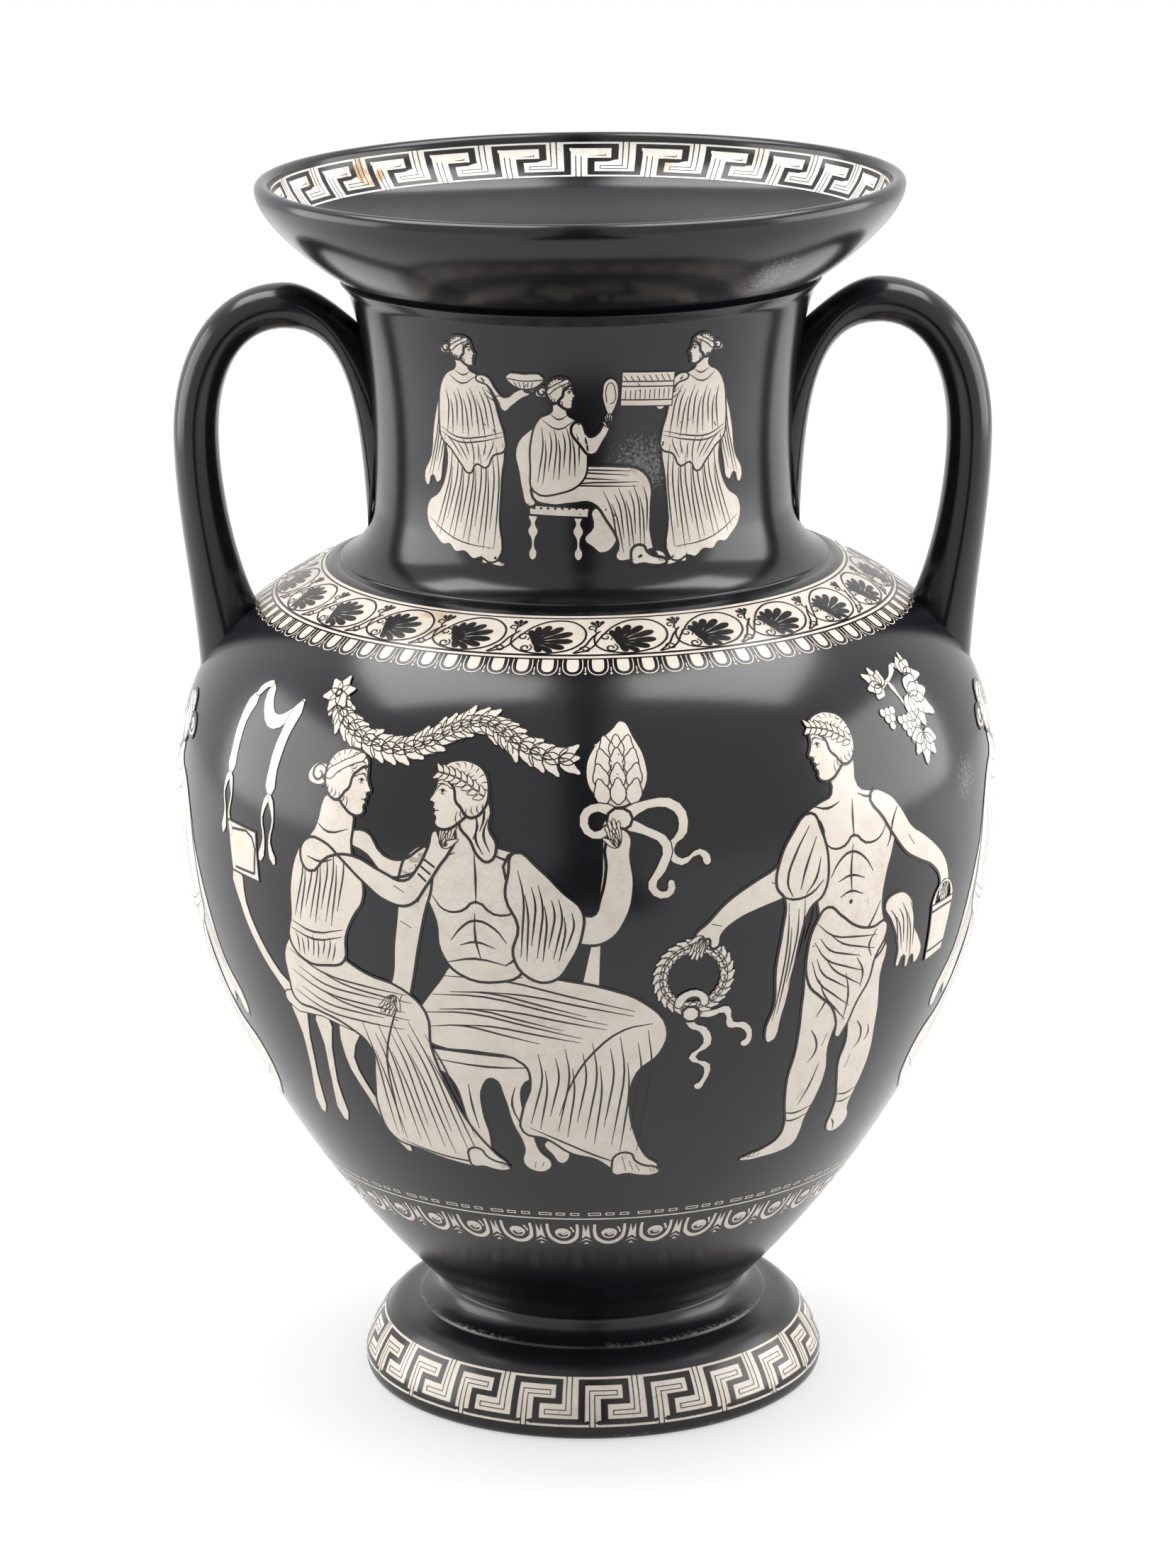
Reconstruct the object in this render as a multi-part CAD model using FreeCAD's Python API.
"""Two-handled amphora in glazed earthenware, on a pedestal foot.

Millimetres. +Z is up, the foot stands on Z = 0, the pot's axis is Z and the handles lie along X.
Six clay pieces, thrown or moulded apart and luted together: foot, body, neck, mouth, two handles.
"""
import os
from math import cos, radians, sin

import FreeCAD
import Part

# Heights of the four turned pieces, each from the joint below it
FOOT_HEIGHT = 34.5
BODY_HEIGHT = 264.3
NECK_HEIGHT = 96.7
MOUTH_HEIGHT = 34.5
BELLY_RISE = 179.5          # foot joint to the widest level of the body
WAIST_RISE = 19.2           # neck joint to the neck's narrowest level
COLLAR_HEIGHT = 4.0         # the flared edge at the neck's top
GROOVE_HEIGHT = 1.7         # the shadow line between collar and mouth
KEY_BAND_HEIGHT = 12.4      # the decorated strip inside the lip

# Outside radii
FOOT_RADIUS = 82.2
STEM_RADIUS = 54.0
BELLY_RADIUS = 143.8
WAIST_RADIUS = 72.9
MOUTH_RADIUS = 111.3

# The neck's ends, from its waist outwards
NECK_BASE_SPREAD = 12.1     # waist to the joint with the body
NECK_TOP_SPREAD = 7.0       # waist to the foot of the collar
COLLAR_SPREAD = 3.1         # foot of the collar to its sharp edge
MOUTH_OVERHANG = 1.5        # collar's edge to the mouth's under edge

# Clay and edges
WALL = 6.5
LIP_THICKNESS = 5.3
KEY_BAND_LEAN = 7.0         # how far the decorated strip leans in below the lip
GROOVE_DEPTH = 2.0
MOUTH_EDGE_LIFT = 0.8       # the mouth's under edge rises this much out to its base radius
FOOT_RING_WIDTH = 7.6       # the flat ring that the pot stands on
FOOT_EDGE_ROUND = 2.6
FOOT_EDGE_HEIGHT = 4.5      # level of the foot's widest line
FOOT_MOULD_TOP = 21.3       # level where the foot's swelling side ends
FOOT_MOULD_RADIUS = 74.5
SHELF_RADIUS = 66.0
SHELF_LEVEL = 26.0
STEP_RADIUS = 62.3
STEP_RISE = 0.4             # the shelf's rise to the step
STEP_HEIGHT = 1.4
STEP_LEAN = 0.3

# Handles, seen from the front
HANDLE_THICKNESS = 15.6
HANDLE_WIDTH = 20.0         # front to back
HANDLE_FOOT_WIDTH = 25.0    # front to back where it lands on the shoulder
HANDLE_BOW = 7.2            # how far it swings out past its landing
HANDLE_INSET = 9.4          # its landing, in from the belly
HANDLE_TOP_DROP = 1.3       # crown of the handle, below the neck's top
HANDLE_CROWN_REACH = 29.1   # crown of the handle, out from the neck's waist
HANDLE_ROOT_DEPTH = 6.9     # how deep its upper end starts inside the neck's waist
HANDLE_TAIL_LIFT = 1.9      # its tail's end, out from the neck's waist
HANDLE_HEEL = 23.4          # its landing's inner edge, in from the outer edge
HANDLE_ROOT_SHARE = 0.73    # level of the upper end, as a share of the neck's height
HANDLE_BOW_SHARE = 0.43     # level of its widest reach
HANDLE_TAIL_SHARE = 0.055   # level of the tail's end
HANDLE_LANDING_SHARE = 0.42  # level of the landing's outer edge, as a share of the shoulder's height
HANDLE_HEEL_SHARE = 0.72    # level of the landing's inner edge

FOOT_JOINT = FOOT_HEIGHT
BELLY_LEVEL = FOOT_JOINT + BELLY_RISE
NECK_JOINT = FOOT_JOINT + BODY_HEIGHT
WAIST_LEVEL = NECK_JOINT + WAIST_RISE
MOUTH_JOINT = NECK_JOINT + NECK_HEIGHT
RIM_LEVEL = MOUTH_JOINT + MOUTH_HEIGHT
NECK_BASE_RADIUS = WAIST_RADIUS + NECK_BASE_SPREAD
NECK_TOP_RADIUS = WAIST_RADIUS + NECK_TOP_SPREAD
COLLAR_RADIUS = NECK_TOP_RADIUS + COLLAR_SPREAD
MOUTH_BASE_RADIUS = COLLAR_RADIUS + MOUTH_OVERHANG

UNDERSIDE_SLOPE = 45        # degrees above level, where the body leaves the foot
SHOULDER_SLOPE = 156        # where the shoulder runs into the neck
WAIST_SLOPE = 93
UP = 90
DOWN = 270
OUT = 0


def point(radius, height):
    return FreeCAD.Vector(radius, 0, height)


def heading(degrees):
    return FreeCAD.Vector(cos(radians(degrees)), 0, sin(radians(degrees)))


def curve(start, leave, pull, end, arrive, hold):
    """Poles of a smooth curve that leaves and arrives at given headings; pulls are shares of its chord."""
    chord = (end - start).Length
    return [start, start + heading(leave) * (pull * chord), end - heading(arrive) * (hold * chord), end]


def inset(poles, depth):
    """The same curve a wall's depth to the left of its run: each leg moves in, and the corners meet again."""
    legs = [after - before for before, after in zip(poles, poles[1:])]
    normals = [FreeCAD.Vector(-leg.z, 0, leg.x).normalize() for leg in legs]
    moved = [poles[0] + normals[0] * depth]
    for corner, before, after in zip(poles[1:], normals, normals[1:]):
        moved.append(corner + (before + after) * (depth / (1 + before.dot(after))))
    moved.append(poles[-1] + normals[-1] * depth)
    return moved


def bezier(poles):
    shape = Part.BezierCurve()
    shape.setPoles(poles)
    return shape.toShape()


def outline(*runs):
    """Closed face in the XZ plane; a run of 4 is a curve, a run of 3 an arc, a run of 2 a straight line."""
    edges = []
    for run in runs:
        if edges and (run[0] - edges[-1].lastVertex().Point).Length > 1e-6:
            raise ValueError("outline runs do not meet")
        if len(run) == 4:
            edges.append(bezier(run))
        elif len(run) == 3:
            edges.append(Part.Arc(*run).toShape())
        else:
            edges.append(Part.LineSegment(*run).toShape())
    return Part.Face(Part.Wire(edges))


def path(*points):
    return list(zip(points, points[1:]))


def turned(face):
    return face.revolve(FreeCAD.Vector(0, 0, 0), FreeCAD.Vector(0, 0, 1), 360)


# Outside curves, shared by the pieces, the cavity and the handles' seats
LOWER_BODY = curve(point(STEM_RADIUS, FOOT_JOINT), UNDERSIDE_SLOPE, 0.35,
                   point(BELLY_RADIUS, BELLY_LEVEL), UP, 0.30)
SHOULDER = curve(point(BELLY_RADIUS, BELLY_LEVEL), UP, 0.466,
                 point(NECK_BASE_RADIUS, NECK_JOINT), SHOULDER_SLOPE, 0.434)
NECK_FLARE = curve(point(NECK_BASE_RADIUS, NECK_JOINT), SHOULDER_SLOPE, 0.36,
                   point(WAIST_RADIUS, WAIST_LEVEL), WAIST_SLOPE, 0.40)
NECK_SIDE = curve(point(WAIST_RADIUS, WAIST_LEVEL), WAIST_SLOPE, 0.235,
                  point(NECK_TOP_RADIUS, MOUTH_JOINT - COLLAR_HEIGHT), 73, 0.373)


def body_solid():
    """The thrown pot from the foot joint to the neck joint, still full."""
    base = point(0, FOOT_JOINT)
    top = point(0, NECK_JOINT)
    return turned(outline((base, LOWER_BODY[0]), LOWER_BODY, SHOULDER, *path(SHOULDER[-1], top, base)))


def neck_solid():
    """Flared neck with its sharp collar, still full."""
    base = point(0, NECK_JOINT)
    top = point(0, MOUTH_JOINT)
    collar = point(COLLAR_RADIUS, MOUTH_JOINT)
    return turned(outline((base, NECK_FLARE[0]), NECK_FLARE, NECK_SIDE,
                          *path(NECK_SIDE[-1], collar, top, base)))


def lip_arc(side):
    """Quarter of the lip's round, from its side at the given heading to its top."""
    round_radius = LIP_THICKNESS / 2
    centre = point(MOUTH_RADIUS - round_radius, RIM_LEVEL - round_radius)
    return [centre + heading(angle) * round_radius for angle in (side, (side + UP) / 2, UP)]


def mouth_solid():
    """Cushion-shaped mouth with a rounded lip over a narrow groove, still full."""
    axis_base = point(0, MOUTH_JOINT)
    axis_top = point(0, RIM_LEVEL)
    groove_radius = COLLAR_RADIUS - GROOVE_DEPTH
    groove_base = point(groove_radius, MOUTH_JOINT)
    groove_top = point(groove_radius, MOUTH_JOINT + GROOVE_HEIGHT)
    under_edge = point(MOUTH_BASE_RADIUS, MOUTH_JOINT + GROOVE_HEIGHT + MOUTH_EDGE_LIFT)
    lip_out, lip_side, lip_top = lip_arc(OUT)
    side = curve(under_edge, 33, 0.267, lip_out, UP, 0.236)
    return turned(outline(*path(axis_base, groove_base, groove_top, under_edge), side,
                          (lip_out, lip_side, lip_top), *path(lip_top, axis_top, axis_base)))


def cavity_solid():
    """The whole inside, from the body's floor to the lip, a wall's thickness in from the outside."""
    lower = inset(LOWER_BODY, WALL)
    shoulder = inset(SHOULDER, WALL)
    flare = inset(NECK_FLARE, WALL)
    bore_radius = flare[-1].x
    bore_top = point(bore_radius, MOUTH_JOINT + GROOVE_HEIGHT)
    lip_in, lip_side, lip_top = lip_arc(180)
    band_foot = point(lip_in.x - KEY_BAND_LEAN, lip_in.z - KEY_BAND_HEIGHT)
    bowl = curve(bore_top, 86, 0.21, band_foot, 45, 0.35)
    band = curve(band_foot, 50, 0.35, lip_in, 80, 0.35)
    floor = point(0, lower[0].z)
    return turned(outline((floor, lower[0]), lower, shoulder, flare, (flare[-1], bore_top), bowl, band,
                          (lip_in, lip_side, lip_top), *path(lip_top, point(0, RIM_LEVEL), floor)))


def foot_solid():
    """Pedestal foot: swelling side, rounded shelf, a small sharp step and a short stem; hollow beneath."""
    edge_base = point(FOOT_RADIUS - FOOT_EDGE_ROUND, 0)
    widest = point(FOOT_RADIUS, FOOT_EDGE_HEIGHT)
    mould_top = point(FOOT_MOULD_RADIUS, FOOT_MOULD_TOP)
    shelf = point(SHELF_RADIUS, SHELF_LEVEL)
    step_base = point(STEP_RADIUS, SHELF_LEVEL + STEP_RISE)
    step_top = point(STEP_RADIUS - STEP_LEAN, SHELF_LEVEL + STEP_HEIGHT)
    stem_top = point(STEM_RADIUS, FOOT_JOINT)
    bore_top = point(STEM_RADIUS - WALL, FOOT_JOINT)
    bore_base = point(STEM_RADIUS - WALL, FOOT_JOINT - WALL)
    ring_inner = point(FOOT_RADIUS - FOOT_EDGE_ROUND - FOOT_RING_WIDTH, 0)
    return turned(outline(curve(edge_base, 20, 0.45, widest, UP, 0.45),
                          curve(widest, UP, 0.29, mould_top, 130, 0.19),
                          curve(mould_top, 130, 0.45, shelf, 178, 0.40),
                          *path(shelf, step_base, step_top),
                          curve(step_top, 172, 0.50, stem_top, UP, 0.40),
                          *path(stem_top, bore_top, bore_base),
                          curve(bore_base, DOWN, 0.20, ring_inner, 285, 0.30),
                          (ring_inner, edge_base)))


def handle_section():
    """Closed curve of unit half sizes: round outside, flatter inside with soft corners."""
    half = [(1.0, 0.0), (0.78, 0.66), (0.20, 1.0), (-0.45, 0.88), (-0.88, 0.50), (-1.0, 0.0)]
    ring = half + [(along, -side) for along, side in half[-2:0:-1]]
    section = Part.BSplineCurve()
    section.interpolate([FreeCAD.Vector(along, side, 0) for along, side in ring], PeriodicFlag=True)
    return section


def handle_skin(outer, inner, widths, section):
    """Surface of one stretch: the section, stretched between two edge curves and to a front-to-back width."""
    rows = []
    for outer_pole, inner_pole, width in zip(outer, inner, widths):
        centre = (outer_pole + inner_pole) * 0.5
        across = (outer_pole - inner_pole) * 0.5
        depth = FreeCAD.Vector(0, width / 2, 0)
        rows.append([centre + across * pole.x + depth * pole.y for pole in section.getPoles()])
    surface = Part.BSplineSurface()
    surface.buildFromPolesMultsKnots(rows, [4, 4], section.getMultiplicities(), [0, 1], section.getKnots(),
                                     False, True, 3, section.Degree)
    return surface


def handle_solid():
    """One pulled handle: out of the neck, over the crown, down to the shoulder, with its tail on the neck."""
    crown = point(WAIST_RADIUS + HANDLE_CROWN_REACH, MOUTH_JOINT - HANDLE_TOP_DROP)
    landing_x = BELLY_RADIUS - HANDLE_INSET
    bow = point(landing_x + HANDLE_BOW, NECK_JOINT + HANDLE_BOW_SHARE * NECK_HEIGHT)
    shoulder_rise = NECK_JOINT - BELLY_LEVEL
    landing = point(landing_x, BELLY_LEVEL + HANDLE_LANDING_SHARE * shoulder_rise)
    rooted = point(WAIST_RADIUS - HANDLE_ROOT_DEPTH, NECK_JOINT + HANDLE_ROOT_SHARE * NECK_HEIGHT)
    tail = point(WAIST_RADIUS + HANDLE_TAIL_LIFT, NECK_JOINT + HANDLE_TAIL_SHARE * NECK_HEIGHT)
    under_crown = crown - point(0, HANDLE_THICKNESS)
    inner_bow = bow - point(HANDLE_THICKNESS, 0)
    inner_landing = point(landing_x - HANDLE_HEEL, BELLY_LEVEL + HANDLE_HEEL_SHARE * shoulder_rise)
    outer_runs = [curve(rooted, 45, 0.39, crown, OUT, 0.25),
                  curve(crown, OUT, 0.39, bow, DOWN, 0.42),
                  curve(bow, DOWN, 0.337, landing, 269, 0.374)]
    inner_runs = [curve(tail, 88, 0.60, under_crown, OUT, 0.28),
                  curve(under_crown, OUT, 0.387, inner_bow, DOWN, 0.43),
                  curve(inner_bow, DOWN, 0.306, inner_landing, 240, 0.274)]
    even = [HANDLE_WIDTH] * 4
    widths = [even, even, [HANDLE_WIDTH] * 3 + [HANDLE_FOOT_WIDTH]]
    section = handle_section()
    skins = [handle_skin(*run, section) for run in zip(outer_runs, inner_runs, widths)]
    ends = [skins[0].uIso(0), skins[-1].uIso(1)]
    caps = [Part.Face(Part.Wire(end.toShape())) for end in ends]
    shell = Part.makeShell([skin.toShape() for skin in skins] + caps)
    shell.sewShape()
    solid = Part.Solid(shell)
    if solid.Volume < 0:
        solid.reverse()
    return solid


def build():
    body_full = body_solid()
    neck_full = neck_solid()
    cavity = cavity_solid()
    handle = handle_solid().cut(body_full).cut(neck_full)
    handle_left = handle.copy()
    handle_left.rotate(FreeCAD.Vector(0, 0, 0), FreeCAD.Vector(0, 0, 1), 180)
    return {
        "foot": foot_solid(),
        "body": body_full.cut(cavity),
        "neck": neck_full.cut(cavity),
        "mouth": mouth_solid().cut(cavity),
        "handle_right": handle,
        "handle_left": handle_left,
    }


os.makedirs("parts", exist_ok=True)
for name, shape in build().items():
    if len(shape.Solids) != 1 or not shape.isValid():
        raise ValueError(f"{name} is not one valid solid")
    shape.Solids[0].exportStep(f"parts/{name}.step")
    box = shape.optimalBoundingBox()
    print(f"{name}: {shape.Volume / 1000:.1f} cm3, X {box.XMin:.1f} to {box.XMax:.1f}, "
          f"Z {box.ZMin:.1f} to {box.ZMax:.1f}")
